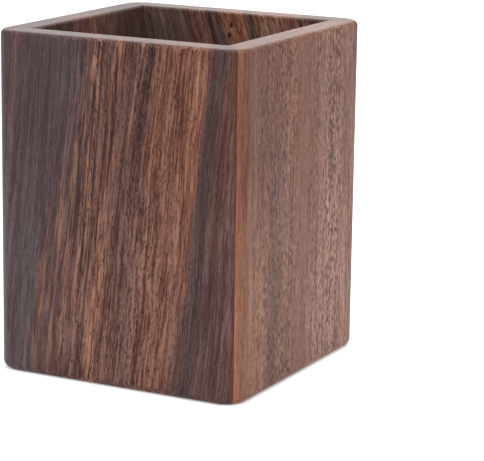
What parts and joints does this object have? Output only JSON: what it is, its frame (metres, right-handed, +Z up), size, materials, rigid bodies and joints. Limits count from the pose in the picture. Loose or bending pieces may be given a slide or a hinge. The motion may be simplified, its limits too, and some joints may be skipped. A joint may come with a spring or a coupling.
{
  "type": "pen holder",
  "caption": "Square open-topped wooden desk cup with mitred upright boards and an inset floor, for holding pens, pencils and scissors upright.",
  "frame": {"origin": "middle of the base, on the surface that the holder stands on", "axes": "+Z up out of the mouth, +X to the right board, -Y to the front board"},
  "size_m": [0.08, 0.08, 0.1],
  "materials": {
    "front_board_walnut": "satin oil, dark heartwood with rust-brown streaks",
    "right_board_walnut": "satin oil, lighter warm brown heartwood",
    "back_board_walnut": "satin oil, dark heartwood with slanting bands",
    "left_board_walnut": "satin oil, dark heartwood",
    "bottom_panel_walnut": "satin oil, plain heartwood"
  },
  "bodies": {
    "root": {"front_board": "front_board_walnut", "right_board": "right_board_walnut", "back_board": "back_board_walnut", "left_board": "left_board_walnut", "bottom_panel": "bottom_panel_walnut"}
  },
  "joints": []
}
